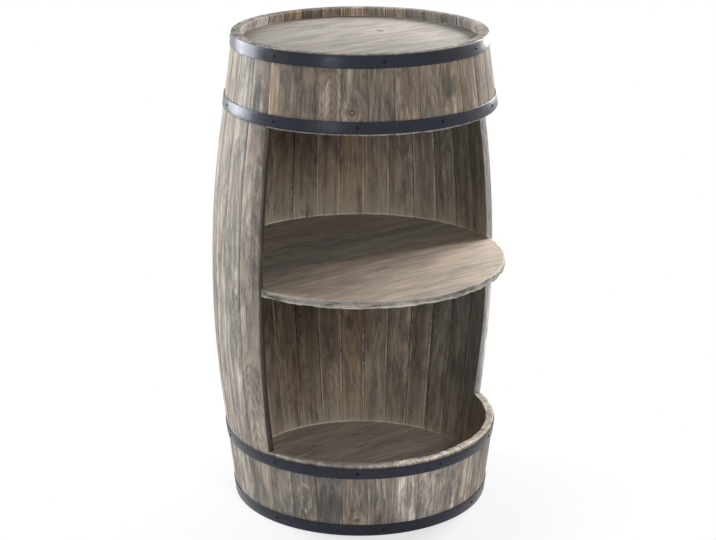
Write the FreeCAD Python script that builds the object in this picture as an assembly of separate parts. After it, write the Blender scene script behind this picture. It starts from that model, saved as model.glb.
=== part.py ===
"""Open barrel cabinet: a coopered barrel with a part of its staves cut away at the front,
a recessed top board, a round shelf at half height and a floor, held by four riveted hoops.

Millimetres. The origin is on the barrel's axis at the underside of the staves. +Z is up,
-Y is the open front and +X is the right-hand side as one faces the front. Angles round the
barrel are in degrees from the front, positive towards +X.
"""
import FreeCAD, Part
import math
import os

# Outline of the barrel
barrel_height = 800.0
belly_radius = 248.5        # outside, at half height
rim_radius = 207.2          # outside, at the top
foot_flare = 8.1            # how much larger the radius is at the foot than at the rim
straight_end = 175.0        # length at each end over which a stave is straight

# Staves
stave_count = 33
cut_stave_count = 14        # staves of the front that are sawn in two
belly_wall = 12.5
end_wall = 15.5
chime_bevel = 2.0           # on the inner edge of both ends
stave_gap = 0.2

# Opening in the front
upper_band_height = 122.0   # from the rim down to the sawn ends of the upper staves
lower_band_height = 131.5   # from the foot up to the sawn ends of the lower staves

# Boards
lid_recess = 15.0           # from the rim down to the lid
floor_height = 26.0         # from the foot up to the floor's top
shelf_height = 416.5        # from the foot up to the shelf's top
head_thickness = 16.0       # lid and floor
head_tongue = 10.0          # thickness of the edge of lid and floor that sits in the groove
shelf_thickness = 12.0
shelf_inset = 4.5           # from the belly's outside in to the shelf's edge in the opening
groove_depth = 4.5
groove_headroom = 3.0       # the groove above the board that rests in it
board_clearance = 0.3
joint_gap = 0.15            # between the two boards of a lid, shelf or floor

# Dowels in the board joints
dowel_radius = 3.0
dowel_length = 36.0
dowel_pitch = 110.0
dowels_per_joint = 3
dowel_clearance = 0.1

# Hoops
end_hoop_width = 20.0
band_hoop_width = 19.0
hoop_thickness = 1.5
hoop_clearance = 0.2        # between the staves and a hoop
rim_hoop_drop = 0.5         # from the rim down to the top hoop
foot_hoop_lift = 1.0        # from the foot up to the foot hoop
upper_band_edge = 2.5       # stave that shows under the upper band's hoop
lower_band_edge = 4.5       # stave that shows over the lower band's hoop
lap_length = 50.0
lap_bridge = 6.0            # where the strip steps out over its own end
lap_clearance = 0.15        # between the two layers
strip_end_gap = 1.0         # between the hidden end and the step

# Nails and rivets of the hoops
end_nail_count = 7
end_nail_pitch = 50.0       # degrees
end_nail_middle = -25.8     # degrees, the middle nail of an end hoop
band_nail_count = 10
band_nail_first = -109.0    # degrees
nail_seam_margin = 4.5      # least distance from a nail to a seam between two staves
nail_radius = 1.0
nail_head_radius = 2.6
nail_head_height = 1.2
nail_point = 1.5
nail_cover = 2.0            # wood left between a nail's point and the groove
nail_clearance = 0.1
pin_tip_share = 0.4         # radius of the blunt tip over that of the shank
rivet_radius = 2.0
rivet_head_radius = 3.6
rivet_head_height = 1.8
rivet_chamfer = 0.3
rivets_per_lap = 2
rivet_clearance = 0.1

# Worked out from the sizes above
half_height = barrel_height / 2
stave_angle = 360.0 / stave_count
opening_half_angle = cut_stave_count * stave_angle / 2
opening_top = barrel_height - upper_band_height
lid_top = barrel_height - lid_recess
cut_margin = 1.0            # how far a cutting tool runs past what it cuts
origin = FreeCAD.Vector(0, 0, 0)
up = FreeCAD.Vector(0, 0, 1)


# ---------------------------------------------------------------- outline
def outer_radius(z):
    """The staves' outer radius: a shallow bow that runs out in a straight line at each end."""
    end_radius = rim_radius + foot_flare / 2
    taper = -foot_flare / 2
    share = (z - half_height) / half_height
    bow_share = 1 - straight_end / half_height
    bow = (belly_radius - end_radius) / (bow_share * (2 - bow_share))
    along = abs(share)
    if along < bow_share:
        drop = bow * along ** 2
    else:
        drop = bow * bow_share * (2 * along - bow_share)
    return belly_radius - drop + taper * share


def inner_radius(z):
    """Distance from the axis to the flat inner face of a stave."""
    share = (z - half_height) / half_height
    return outer_radius(z) - belly_wall - (end_wall - belly_wall) * share ** 2


def outer_slope(z):
    """Change of the outer radius per millimetre of height."""
    step = 0.5
    return (outer_radius(z + step) - outer_radius(z - step)) / (2 * step)


def turned(shape, angle):
    """A copy of a shape made at the front, turned round the barrel's axis."""
    copy = shape.copy()
    copy.rotate(origin, up, angle)
    return copy


def front_point(radius, z):
    """A point straight in front of the axis, in the plane x = 0."""
    return FreeCAD.Vector(0, -radius, z)


def bowed_edges(radius_at, low, high):
    """Line, arc and line along a meridian, between the heights low and high."""
    stations = [low, straight_end, half_height, barrel_height - straight_end, high]
    points = [front_point(radius_at(z), z) for z in stations]
    foot_line = Part.LineSegment(points[0], points[1]).toShape()
    belly_arc = Part.Arc(points[1], points[2], points[3]).toShape()
    rim_line = Part.LineSegment(points[3], points[4]).toShape()
    return [foot_line, belly_arc, rim_line]


def closed_face(edges, corners):
    """A face bounded by the edges, then by straight lines through the corners."""
    first = edges[0].valueAt(edges[0].FirstParameter)
    last = edges[-1].valueAt(edges[-1].LastParameter)
    path = [last] + corners + [first]
    lines = [Part.LineSegment(a, b).toShape() for a, b in zip(path, path[1:])]
    return Part.Face(Part.Wire(edges + lines))


def ring_sector(profile, start, sweep):
    """A profile of points at the front, swept round the axis from start over sweep degrees."""
    face = Part.Face(Part.makePolygon(profile + profile[:1]))
    face.rotate(origin, up, start)
    return face.revolve(origin, up, sweep)


# ---------------------------------------------------------------- boards and their grooves
def groove_radius(low, height):
    """Radius of the bottom of a groove that is cut round the inside of the staves."""
    return inner_radius(low + height / 2) + groove_depth


lid_seat = lid_top - head_tongue
floor_seat = floor_height - head_tongue
shelf_seat = shelf_height - shelf_thickness
head_groove_height = head_tongue + groove_headroom
shelf_groove_height = shelf_thickness + groove_headroom


def groove_cutter(low, height):
    """The round tool that leaves a groove in the staves."""
    return Part.makeCylinder(groove_radius(low, height), height, front_point(0, low))


def head_blank(seat):
    """A lid or floor: a disc whose edge is rebated underneath to a tongue."""
    underside = seat + head_tongue - head_thickness
    tongue_radius = groove_radius(seat, head_groove_height) - board_clearance
    body_radius = min(inner_radius(underside), inner_radius(seat)) - board_clearance
    tongue = Part.makeCylinder(tongue_radius, head_tongue, front_point(0, seat))
    body = Part.makeCylinder(body_radius, head_thickness, front_point(0, underside))
    return tongue.fuse(body).removeSplitter()


def shelf_blank():
    """The shelf: a disc in its groove, wider in the opening, where it follows the outline."""
    back_radius = groove_radius(shelf_seat, shelf_groove_height) - board_clearance
    shoulder_angle = math.degrees(board_clearance / inner_radius(shelf_height))
    lobe_half_angle = opening_half_angle - shoulder_angle
    disc = Part.makeCylinder(back_radius, shelf_thickness, front_point(0, shelf_seat))
    lobe = Part.makeCylinder(
        belly_radius - shelf_inset, shelf_thickness, origin, up, 2 * lobe_half_angle)
    lobe.rotate(origin, up, -90 - lobe_half_angle)
    lobe.translate(front_point(0, shelf_seat))
    return disc.fuse(lobe).removeSplitter()


def dowel_places(mid_z):
    """Centres of the dowels in the joint of one board pair."""
    first = -dowel_pitch * (dowels_per_joint - 1) / 2
    return [FreeCAD.Vector(first + i * dowel_pitch, 0, mid_z) for i in range(dowels_per_joint)]


def dowel(centre, radius, length):
    """A round pin across the joint, along Y."""
    start = centre - FreeCAD.Vector(0, length / 2, 0)
    return Part.makeCylinder(radius, length, start, FreeCAD.Vector(0, 1, 0))


def board_pair(blank, mid_z):
    """The front and the back board of a blank, with their dowel holes."""
    span = 3 * belly_radius
    height = 3 * head_thickness
    low = mid_z - height / 2
    halves = []
    for y_low in (-span - joint_gap / 2, joint_gap / 2):
        half_box = Part.makeBox(2 * span, span, height, FreeCAD.Vector(-span, y_low, low))
        half = blank.common(half_box)
        for centre in dowel_places(mid_z):
            hole_length = dowel_length + 2 * cut_margin
            half = half.cut(dowel(centre, dowel_radius + dowel_clearance, hole_length))
        halves.append(half)
    return halves


# ---------------------------------------------------------------- hoops, nails and rivets
def hoop(low, width, lap_middle, nail_angles):
    """The place of one hoop: its edges, the middle of its lap and its nails."""
    return {"low": low, "high": low + width, "mid": low + width / 2,
            "lap": lap_middle, "nails": nail_angles}


end_nail_angles = [end_nail_middle + (i - (end_nail_count - 1) / 2) * end_nail_pitch
                   for i in range(end_nail_count)]
band_nail_pitch = 360.0 / band_nail_count
band_nail_angles = [band_nail_first + i * band_nail_pitch for i in range(band_nail_count)]
end_lap_middle = end_nail_middle + 180
band_lap_middle = band_nail_first + 6.5 * band_nail_pitch

hoops = {
    "hoop_top": hoop(barrel_height - rim_hoop_drop - end_hoop_width, end_hoop_width,
                     end_lap_middle, end_nail_angles),
    "hoop_upper": hoop(opening_top + upper_band_edge, band_hoop_width,
                       band_lap_middle, band_nail_angles),
    "hoop_lower": hoop(lower_band_height - lower_band_edge - band_hoop_width, band_hoop_width,
                       band_lap_middle, band_nail_angles),
    "hoop_foot": hoop(foot_hoop_lift, end_hoop_width, end_lap_middle, end_nail_angles),
}


def off_seam(angle, z):
    """An angle moved just far enough into its stave to miss the seams."""
    first_seam = -opening_half_angle
    stave = math.floor((angle - first_seam) / stave_angle)
    middle = first_seam + (stave + 0.5) * stave_angle
    reach = stave_angle / 2 - math.degrees(nail_seam_margin / outer_radius(z))
    return middle + max(-reach, min(reach, angle - middle))


def on_surface(shape, angle, z, lift):
    """Puts a shape made along +Z at the origin on the staves, pointing square out of them.

    lift is the distance out from the staves' surface.
    """
    tilt = math.degrees(math.atan(outer_slope(z)))
    placed = shape.copy()
    placed.rotate(origin, FreeCAD.Vector(1, 0, 0), 90 + tilt)
    outward = placed.Placement.Rotation.multVec(up)
    placed.translate(front_point(outer_radius(z), z) + outward * lift)
    placed.rotate(origin, up, angle)
    return placed


def pin_with_dome(radius, length, head_radius, head_height, point):
    """A pin along +Z with its domed head on top of z = 0 and its shank below."""
    dome_radius = (head_radius ** 2 + head_height ** 2) / (2 * head_height)
    dome_depth = dome_radius - head_height
    latitude = math.degrees(math.asin(dome_depth / dome_radius))
    dome_centre = FreeCAD.Vector(0, 0, -dome_depth)
    head = Part.makeSphere(dome_radius, dome_centre, up, latitude, 90, 360)
    shank = Part.makeCylinder(radius, length - point, FreeCAD.Vector(0, 0, point - length))
    tip = Part.makeCone(radius * pin_tip_share, radius, point, FreeCAD.Vector(0, 0, -length))
    return head.fuse([shank, tip]).removeSplitter()


nail_bite = end_wall - groove_depth - nail_cover
nail_lift = hoop_clearance + hoop_thickness
lap_lift = hoop_clearance + 2 * hoop_thickness + lap_clearance


def nail(angle, z):
    """One hoop nail, its head on the hoop."""
    blank = pin_with_dome(
        nail_radius, nail_lift + nail_bite, nail_head_radius, nail_head_height, nail_point)
    return on_surface(blank, off_seam(angle, z), z, nail_lift)


def nail_hole(angle, z):
    """The hole of one nail, through the hoop and into the stave."""
    depth = nail_lift + nail_bite + nail_clearance
    blank = Part.makeCylinder(nail_radius + nail_clearance, depth + cut_margin,
                              FreeCAD.Vector(0, 0, -depth))
    return on_surface(blank, off_seam(angle, z), z, nail_lift)


def rivet_angles(place):
    """Angles of the rivets in one hoop's lap."""
    radius = outer_radius(place["mid"])
    step = math.degrees(lap_length / rivets_per_lap / radius)
    first = place["lap"] - step * (rivets_per_lap - 1) / 2
    return [first + i * step for i in range(rivets_per_lap)]


def rivet(angle, z):
    """One rivet through both layers of a lap, flush with the hoop's inside."""
    length = 2 * hoop_thickness + lap_clearance
    blank = pin_with_dome(
        rivet_radius, length, rivet_head_radius, rivet_head_height, rivet_chamfer)
    return on_surface(blank, angle, z, lap_lift)


def rivet_hole(angle, z):
    """The hole of one rivet, through both layers."""
    length = lap_lift + 2 * cut_margin
    blank = Part.makeCylinder(rivet_radius + rivet_clearance, length,
                              FreeCAD.Vector(0, 0, -length + cut_margin))
    return on_surface(blank, angle, z, lap_lift)


def strip_profile(place, inner_lift, outer_lift):
    """Section of a hoop's strip between two distances out from the staves."""
    low = place["low"]
    high = place["high"]
    return [front_point(outer_radius(low) + inner_lift, low),
            front_point(outer_radius(low) + outer_lift, low),
            front_point(outer_radius(high) + outer_lift, high),
            front_point(outer_radius(high) + inner_lift, high)]


def hoop_shape(place):
    """A strip bent round the staves, one end stepped out and riveted over the other."""
    degrees_per_mm = math.degrees(1 / outer_radius(place["mid"]))
    lap_sweep = lap_length * degrees_per_mm
    bridge_sweep = lap_bridge * degrees_per_mm
    end_gap_sweep = strip_end_gap * degrees_per_mm
    step_out = hoop_clearance + hoop_thickness
    over = step_out + lap_clearance
    lap_start = place["lap"] - lap_sweep / 2
    round_part = ring_sector(strip_profile(place, hoop_clearance, step_out),
                             lap_start + end_gap_sweep, 360 - end_gap_sweep - bridge_sweep)
    bridge = ring_sector(strip_profile(place, hoop_clearance, lap_lift),
                         lap_start - bridge_sweep, bridge_sweep)
    tab = ring_sector(strip_profile(place, over, lap_lift), lap_start, lap_sweep)
    strip = round_part.fuse([bridge, tab])
    for angle in place["nails"]:
        strip = strip.cut(nail_hole(angle, place["mid"]))
    for angle in rivet_angles(place):
        strip = strip.cut(rivet_hole(angle, place["mid"]))
    return strip


# ---------------------------------------------------------------- staves
def stave_blank():
    """One full stave at the front: round outside, flat inside, its edges on radial planes."""
    core_radius = belly_radius / 2
    section = closed_face(bowed_edges(outer_radius, 0, barrel_height),
                          [front_point(core_radius, barrel_height), front_point(core_radius, 0)])
    sweep = stave_angle - math.degrees(stave_gap / belly_radius)
    section.rotate(origin, up, -sweep / 2)
    blank = section.revolve(origin, up, sweep)

    bevel_run = chime_bevel + cut_margin
    hollow_edges = bowed_edges(inner_radius, chime_bevel, barrel_height - chime_bevel)
    foot_mouth = inner_radius(chime_bevel) + bevel_run
    rim_mouth = inner_radius(barrel_height - chime_bevel) + bevel_run
    hollow = closed_face(hollow_edges, [front_point(rim_mouth, barrel_height + cut_margin),
                                        front_point(0, barrel_height + cut_margin),
                                        front_point(0, -cut_margin),
                                        front_point(foot_mouth, -cut_margin)])
    width = 2 * math.radians(stave_angle) * belly_radius
    hollow.translate(FreeCAD.Vector(-width / 2, 0, 0))
    blank = blank.cut(hollow.extrude(FreeCAD.Vector(width, 0, 0)))

    for seat, height in ((lid_seat, head_groove_height), (floor_seat, head_groove_height),
                         (shelf_seat, shelf_groove_height)):
        blank = blank.cut(groove_cutter(seat, height))
    return blank


def between(shape, low, high):
    """The part of a shape between two heights."""
    span = 2 * belly_radius
    return shape.common(Part.makeBox(2 * span, 2 * span, high - low,
                                     FreeCAD.Vector(-span, -span, low)))


def nailed_stave(blank, index, low, high):
    """The stave of a blank at its place, counted from the opening's left edge, with nail holes."""
    start = -opening_half_angle + index * stave_angle
    stave = turned(blank, start + stave_angle / 2)
    for place in hoops.values():
        if not low < place["mid"] < high:
            continue
        for angle in place["nails"]:
            if (off_seam(angle, place["mid"]) - start) % 360 < stave_angle:
                stave = stave.cut(nail_hole(angle, place["mid"]))
    return stave


# ---------------------------------------------------------------- output
def export(name, shape):
    """Writes one node."""
    shape.exportStep(os.path.join("parts", name + ".step"))


def build():
    """Makes every node of the cabinet."""
    os.makedirs("parts", exist_ok=True)

    full_blank = stave_blank()
    upper_blank = between(full_blank, opening_top, barrel_height)
    lower_blank = between(full_blank, 0, lower_band_height)
    for i in range(cut_stave_count):
        number = "%02d" % (i + 1)
        upper = nailed_stave(upper_blank, i, opening_top, barrel_height)
        lower = nailed_stave(lower_blank, i, 0, lower_band_height)
        export("upper_stave_" + number, upper)
        export("lower_stave_" + number, lower)
    for i in range(stave_count - cut_stave_count):
        stave = nailed_stave(full_blank, cut_stave_count + i, 0, barrel_height)
        export("stave_%02d" % (i + 1), stave)

    boards = {
        "lid_board": (head_blank(lid_seat), lid_top - head_thickness / 2),
        "shelf_board": (shelf_blank(), shelf_height - shelf_thickness / 2),
        "floor_board": (head_blank(floor_seat), floor_height - head_thickness / 2),
    }
    dowels = []
    for name, (blank, mid_z) in boards.items():
        front, back = board_pair(blank, mid_z)
        export(name + "_front", front)
        export(name + "_back", back)
        dowels += [dowel(centre, dowel_radius, dowel_length) for centre in dowel_places(mid_z)]
    export("board_dowels", Part.makeCompound(dowels))

    nails = []
    rivets = []
    for name, place in hoops.items():
        export(name, hoop_shape(place))
        nails += [nail(angle, place["mid"]) for angle in place["nails"]]
        rivets += [rivet(angle, place["mid"]) for angle in rivet_angles(place)]
    export("hoop_nails", Part.makeCompound(nails))
    export("hoop_rivets", Part.makeCompound(rivets))


build()
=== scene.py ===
# %% [markdown]
# # A barrel bar cabinet
# The cabinet is a small coopered barrel with part of its front sawn away. This notebook dresses the
# engineering model: it keeps that model's sizes and places, and gives each piece the shape and finish of
# weathered wood or blackened steel. Lengths are in metres, +Z is up, -Y is the open front. Angles are in
# degrees from the front, positive towards +X.

# %% load the engineering model
import math
import random
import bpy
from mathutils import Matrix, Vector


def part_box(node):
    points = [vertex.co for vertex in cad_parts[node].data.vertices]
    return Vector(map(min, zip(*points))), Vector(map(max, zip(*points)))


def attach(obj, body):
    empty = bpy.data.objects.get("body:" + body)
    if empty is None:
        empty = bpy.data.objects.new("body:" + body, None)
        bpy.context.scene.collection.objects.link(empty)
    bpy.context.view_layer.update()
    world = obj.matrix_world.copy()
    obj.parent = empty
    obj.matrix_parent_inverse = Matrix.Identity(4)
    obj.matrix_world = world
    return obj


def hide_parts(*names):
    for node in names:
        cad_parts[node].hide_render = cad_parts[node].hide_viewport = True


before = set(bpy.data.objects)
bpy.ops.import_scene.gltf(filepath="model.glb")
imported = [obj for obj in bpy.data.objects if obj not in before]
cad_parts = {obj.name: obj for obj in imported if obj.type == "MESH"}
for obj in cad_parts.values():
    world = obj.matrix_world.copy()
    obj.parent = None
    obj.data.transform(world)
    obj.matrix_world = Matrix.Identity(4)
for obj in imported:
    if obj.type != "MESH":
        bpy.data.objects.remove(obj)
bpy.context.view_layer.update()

from types import SimpleNamespace

import bmesh
import bpy
from mathutils import Matrix, Vector, noise

# %% [markdown]
# ## The outline of a stave
# A stave bows out to the belly in a shallow curve and runs straight for its last hand's breadth at each
# end. One formula gives the outer radius at any height, so that everything that touches the staves can
# take its place from it. The inner face is flat, as a cooper leaves it, and the wall gets thicker towards
# the ends.

# %% outline
mm = 0.001
barrel_height = 800 * mm
belly_radius = 248.5 * mm
rim_radius = 207.2 * mm
foot_flare = 8.1 * mm           # how much larger the radius is at the foot than at the rim
straight_end = 175 * mm
belly_wall = 12.5 * mm
end_wall = 15.5 * mm
half_height = barrel_height / 2


def outer_radius(z):
    """The staves' outer radius at a height."""
    share = (z - half_height) / half_height
    bow_share = 1 - straight_end / half_height
    bow = (belly_radius - rim_radius - foot_flare / 2) / (bow_share * (2 - bow_share))
    along = abs(share)
    if along < bow_share:
        drop = bow * along ** 2
    else:
        drop = bow * bow_share * (2 * along - bow_share)
    return belly_radius - drop - foot_flare / 2 * share


def inner_radius(z):
    """Distance from the axis to the flat inner face of a stave."""
    share = (z - half_height) / half_height
    return outer_radius(z) - belly_wall - (end_wall - belly_wall) * share ** 2


def round_point(angle, radius, z):
    """The point at an angle from the front, a radius and a height."""
    turn = math.radians(angle)
    return Vector((radius * math.sin(turn), -radius * math.cos(turn), z))


print("outer radius at foot, belly, rim:",
      [round(outer_radius(z), 4) for z in (0, half_height, barrel_height)])

# %% [markdown]
# ## Helpers for meshes
# Every piece is made in a bmesh by Blender's own operators and then turned into an object, which says
# what node of the model it stands for and what body it rides on. Faces point outwards, and edges sharper
# than a set angle stay crisp. An extrusion can leave a wall of faces inside a closed piece. Its edges
# have more than two faces each, so it is easy to find and take out.

# %% mesh helpers
crisp_angle = math.radians(32)
merge_distance = 0.02 * mm


def only(geometry, kind):
    """The points, edges or faces out of what an operator returns."""
    return [part for part in geometry if isinstance(part, kind)]


def cut(bm, point, direction, **keep):
    """Cuts a mesh along a plane and returns the new edges."""
    made = bmesh.ops.bisect_plane(bm, geom=bm.verts[:] + bm.edges[:] + bm.faces[:],
                                  plane_co=point, plane_no=direction, **keep)
    return only(made["geom_cut"], bmesh.types.BMEdge)


def ease(bm, geometry, offset, segments=2, affect="EDGES"):
    """Rounds edges or corners."""
    bmesh.ops.bevel(bm, geom=geometry, offset=offset, segments=segments, affect=affect,
                    profile=0.5, material=-1)


def clear_inner_walls(bm):
    """Deletes the faces that an extrusion leaves inside."""
    walls = [f for f in bm.faces if all(len(e.link_faces) > 2 for e in f.edges)]
    bmesh.ops.delete(bm, geom=walls, context="FACES_ONLY")
    bmesh.ops.recalc_face_normals(bm, faces=bm.faces[:])


def placed(name, data):
    """A new object in the scene."""
    made = bpy.data.objects.new(name, data)
    bpy.context.scene.collection.objects.link(made)
    return made


def mesh_from(bm, name):
    """Turns a bmesh into a mesh."""
    mesh = bpy.data.meshes.new(name)
    bm.to_mesh(mesh)
    bm.free()
    return mesh


def finish_piece(bm, name, materials, nodes):
    """Turns a bmesh into an object that replaces its nodes and rides on the barrel."""
    bmesh.ops.remove_doubles(bm, verts=bm.verts[:], dist=merge_distance)
    bmesh.ops.recalc_face_normals(bm, faces=bm.faces[:])
    mesh = mesh_from(bm, name)
    mesh.shade_smooth()
    mesh.set_sharp_from_angle(angle=crisp_angle)
    piece = placed(name, mesh)
    for material in materials:
        mesh.materials.append(material)
    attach(piece, "root")
    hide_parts(*nodes)
    return piece


print("edges stay crisp above", round(math.degrees(crisp_angle)), "degrees")

# %% [markdown]
# ## Helpers for materials
# A procedural material is a net of nodes. Here a node's output is held as a Value, and plain arithmetic
# on a Value adds the Math nodes: a * b + 1 adds two. So a finish reads like a recipe, and the shader
# editor shows the same recipe as a net.

# %% values
class Value:
    """The output of a node, with arithmetic."""

    def __init__(self, tree, socket):
        self.tree = tree
        self.socket = socket

    def __add__(self, other):
        return maths("ADD", self, other)

    def __sub__(self, other):
        return maths("SUBTRACT", self, other)

    def __rsub__(self, other):
        return maths("SUBTRACT", other, self)

    def __mul__(self, other):
        return maths("MULTIPLY", self, other)

    def __truediv__(self, other):
        return maths("DIVIDE", self, other)


def add(kind, inputs, output=0, tree=None, **settings):
    """Adds a node, sets or links its inputs, and returns one of its outputs."""
    tree = tree or next(value.tree for value in inputs.values() if isinstance(value, Value))
    made = tree.nodes.new(kind)
    for key, value in settings.items():
        setattr(made, key, value)
    for key, value in inputs.items():
        if isinstance(value, Value):
            tree.links.new(value.socket, made.inputs[key])
        else:
            made.inputs[key].default_value = value
    return Value(tree, made.outputs[output])


def maths(operation, *terms):
    """One step of arithmetic."""
    return add("ShaderNodeMath", dict(enumerate(terms)), operation=operation)


def vectors(operation, *terms, output=0):
    """One step of arithmetic on vectors."""
    return add("ShaderNodeVectorMath", dict(enumerate(terms)), output, operation=operation)


print("arithmetic on", Value.__name__, "adds nodes")

# %% [markdown]
# Most patterns need only soft noise, a range mapped to another, and two things mixed by a share. A range
# that is mapped smoothly gives patches soft edges, as weather does, and a plain threshold would not.

# %% pattern helpers
def cloud(vector, scale, detail=2.0, roughness=0.5, output=0):
    """Soft noise at a number of lumps per metre along each direction of a vector."""
    return add("ShaderNodeTexNoise", {"Vector": vectors("MULTIPLY", vector, scale), "Scale": 1.0,
                                      "Detail": detail, "Roughness": roughness}, output)


def between(value, low, high, out_low=0.0, out_high=1.0):
    """Maps a range smoothly to another and stops at its ends."""
    return add("ShaderNodeMapRange", {"Value": value, "From Min": low, "From Max": high,
                                      "To Min": out_low, "To Max": out_high},
               interpolation_type="SMOOTHSTEP")


def wobbled(value, pattern, amount):
    """A value pushed up and down by a pattern."""
    return value + (pattern - 0.5) * amount


def mixed(share, first, second):
    """Two colours mixed by a share."""
    return add("ShaderNodeMix", {0: share, 6: first, 7: second}, 2, data_type="RGBA",
               blend_type="MIX", clamp_factor=True)


def blended(share, first, second):
    """Two numbers mixed by a share."""
    return add("ShaderNodeMix", {0: share, 2: first, 3: second}, data_type="FLOAT")


print("pattern helpers:", [f.__name__ for f in (cloud, between, wobbled, mixed, blended)])

# %% [markdown]
# A material reads the vectors that a piece carries on its points and takes them apart. It begins as an
# empty tree and ends with a surface: a colour, a roughness and a bump. Blender's Principled shader does
# for weathered wood and for coated steel alike, so one helper ends both.

# %% material helpers
def carried(tree, name):
    """A vector that a piece carries on its points."""
    return add("ShaderNodeAttribute", {}, 1, tree, attribute_name=name)


def object_place(tree):
    """The place of a point in its object."""
    return add("ShaderNodeTexCoord", {}, 3, tree)


def parts(vector):
    """The three parts of a vector."""
    made = vector.tree.nodes.new("ShaderNodeSeparateXYZ")
    vector.tree.links.new(vector.socket, made.inputs[0])
    return [Value(vector.tree, output) for output in made.outputs]


def empty_tree(owner):
    """The node tree of a new material or world, without its nodes."""
    owner.use_nodes = True
    owner.node_tree.nodes.clear()
    return owner.node_tree


def show(shader, output="ShaderNodeOutputMaterial"):
    """Links a shader to the output node of its tree."""
    shader.tree.links.new(shader.socket, shader.tree.nodes.new(output).inputs["Surface"])


def show_surface(colour, roughness, height, strength, depth, extras):
    """A plain surface: colour, roughness, a bump of some depth, and extra settings."""
    bump = add("ShaderNodeBump", {"Height": height, "Strength": strength, "Distance": depth})
    show(add("ShaderNodeBsdfPrincipled", {"Base Color": colour, "Roughness": roughness,
                                          "Normal": bump, **extras}))


print("material helpers:", [f.__name__ for f in (carried, parts, empty_tree, show_surface)])

# %% [markdown]
# ## Weathered wood: what a piece tells its material
# A material can't see how a stave was bent, so the piece tells it by vectors on its points. grain is the
# place in the straight, unbent wood: across, depth, along. wear is the nearness to a seam, how worn the
# place is together with painted light on the wall over a board, and 0 outside to 1 inside. The rest are
# the same all over a piece. pith: the middle of the tree, across and in depth, and a shift of the
# patterns. figure, knot, stain, eye: spots, as place across, place along, size. tone: lightness, which on
# some staves and on the lid and shelf is painted shade, brownness, dirt at the seams. plank: slant
# through the tree, the height it is measured from, chalkiness. inner: lightness, which is partly painted
# light and shade, brownness and splinters of the inner face.

# %% reading a piece
def read_piece(tree, stretch):
    """The vectors that a piece carries, taken apart."""
    wood = SimpleNamespace(tree=tree)
    grain = carried(tree, "grain")
    wood.across, wood.depth, wood.along = parts(grain)
    wood.pith_across, wood.pith_depth, shift = parts(carried(tree, "pith"))
    wood.light, wood.warmth, wood.dirt = parts(carried(tree, "tone"))
    wood.side, wood.worn, wood.inside = parts(carried(tree, "wear"))
    wood.inner_light, wood.inner_warmth, wood.splintered = parts(carried(tree, "inner"))
    wood.taper, wood.taper_from, wood.chalk = parts(carried(tree, "plank"))
    wood.indoors = between(wood.inside, 0.35, 0.65)
    wood.own = vectors("ADD", vectors("MULTIPLY", grain, stretch),
                       add("ShaderNodeCombineXYZ", {0: shift, 1: shift, 2: shift}))
    return wood


def sided(wood, outside, inside):
    """One number on the outer face and another on the inner face."""
    return between(wood.indoors, 0.0, 1.0, outside, inside)


def spot(wood, name, longer):
    """Squared distance from a spot in its own size, and the way across from its middle."""
    across, along, size = parts(carried(wood.tree, name))
    off_across = wood.across - across
    side = off_across / size
    up = (wood.along - along) / (size * longer)
    return side * side + up * up, off_across


def bell(squared, height):
    """A bell-shaped rise over a squared distance."""
    return maths("EXPONENT", squared * -1.0) * height


print("helpers for a piece:", [f.__name__ for f in (read_piece, sided, spot, bell)])

# %% [markdown]
# ## Weathered wood: growth rings
# Sawn softwood shows its growth rings as long flames and ovals. In the tree they are nested tubes round
# the pith, so a ring's number is simply the distance from the pith. Stripes would miss the ovals, which
# come by themselves from the distance. The grain wanders, flows round a knot and swells over one oval
# figure. late is the dark, hard part of a ring: it darkens slowly and ends at once.

# %% growth rings
ring_width = 4.2 * mm
wander_lumps = (8, 8, 3.5)          # per metre
wander_reach = (0.016, 0.016, 0.0)
ring_drift = (0.050, 0.050, 0.0)
figure_rings = 3.0                  # rings that the oval figure adds at its middle
knot_rings = 2.4


def bend_grain(wood):
    """Lets the grain wander, and flow round a knot."""
    wood.knot, off_knot = spot(wood, "knot", 0.75)
    pinch = off_knot * bell(wood.knot * 0.12, -0.75)
    wood.wander = vectors("SUBTRACT", cloud(wood.own, wander_lumps, 2, output=1), (0.5, 0.5, 0.5))
    wood.own = vectors("ADD", wood.own, vectors("MULTIPLY", wood.wander, wander_reach))
    wood.own = vectors("ADD", wood.own, add("ShaderNodeCombineXYZ", {0: pinch}))


def draw_rings(wood):
    """The dark part of the rings round the pith, which may lie on a slant."""
    drift = parts(vectors("MULTIPLY", wood.wander, ring_drift))
    slanted_depth = wood.pith_depth + wood.taper * (wood.along - wood.taper_from)
    from_pith = add("ShaderNodeCombineXYZ", {0: wood.across - wood.pith_across + drift[0],
                                             1: wood.depth + slanted_depth + drift[1]})
    ring = vectors("LENGTH", from_pith, output=1) / ring_width
    ring = ring + bell(spot(wood, "figure", 5.0)[0], figure_rings)
    ring = ring + bell(wood.knot * 0.16, knot_rings)
    ring = ring + cloud(wood.own, (160, 160, 10), 3, 0.6) * 1.1
    ring_share = maths("FRACT", ring)
    wood.late = between(ring_share, 0.20, 0.86) * between(ring_share, 0.995, 0.88)


print("rings are", round(ring_width / mm, 1), "mm wide")

# %% [markdown]
# ## Weathered wood: fibres, streaks and patches
# A pattern in wood runs far along the grain and hardly at all across it. So each is noise with its own
# number of lumps per metre across, in depth and along: fibres, flecks, streaks and soft patches. A check
# is a hair crack, the line where a cloud passes its middle value.

# %% patterns
pattern_clouds = {
    # lumps per metre, detail and roughness of each
    "fibre": ((750, 750, 18), 3, 0.7),
    "fleck": ((380, 380, 30), 3, 0.7),
    "streak": ((100, 100, 4.8), 5, 0.66),
    "broad": ((30, 30, 5.0), 3, 0.55),
    "mottle": ((30, 30, 13), 6, 0.74),
}


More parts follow.
